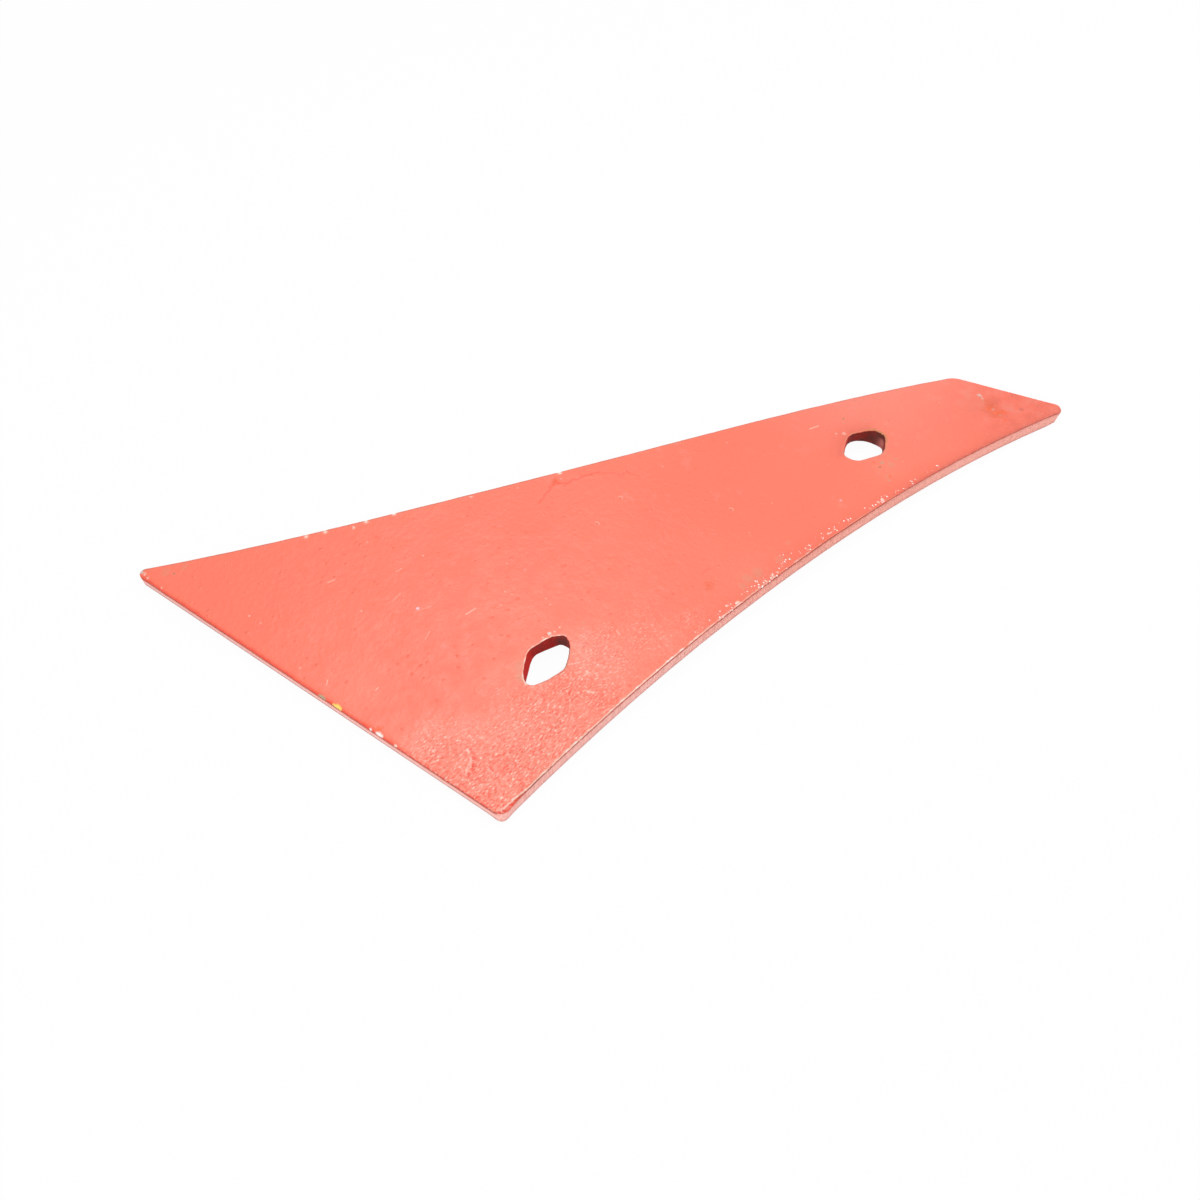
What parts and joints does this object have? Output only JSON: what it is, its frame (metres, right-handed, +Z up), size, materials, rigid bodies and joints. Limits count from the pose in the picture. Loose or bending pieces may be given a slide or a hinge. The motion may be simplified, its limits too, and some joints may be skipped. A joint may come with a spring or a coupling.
{
  "type": "mouldboard breast",
  "caption": "Long tapering steel breast plate for a plough mouldboard, gently bowed, with a hollow rear edge and lozenge bolt holes.",
  "frame": {"origin": "middle of the plate's bounding box, at the height of the surface that it lies on", "axes": "+X from the wide end to the narrow end, square to the wide end; +Y towards the long front edge; +Z up out of the painted face"},
  "size_m": [0.432, 0.3946, 0.0127],
  "materials": {
    "coral_paint": "worn coral-red paint on rolled steel"
  },
  "bodies": {
    "root": {"mouldboard_breast": "coral_paint"}
  },
  "joints": []
}
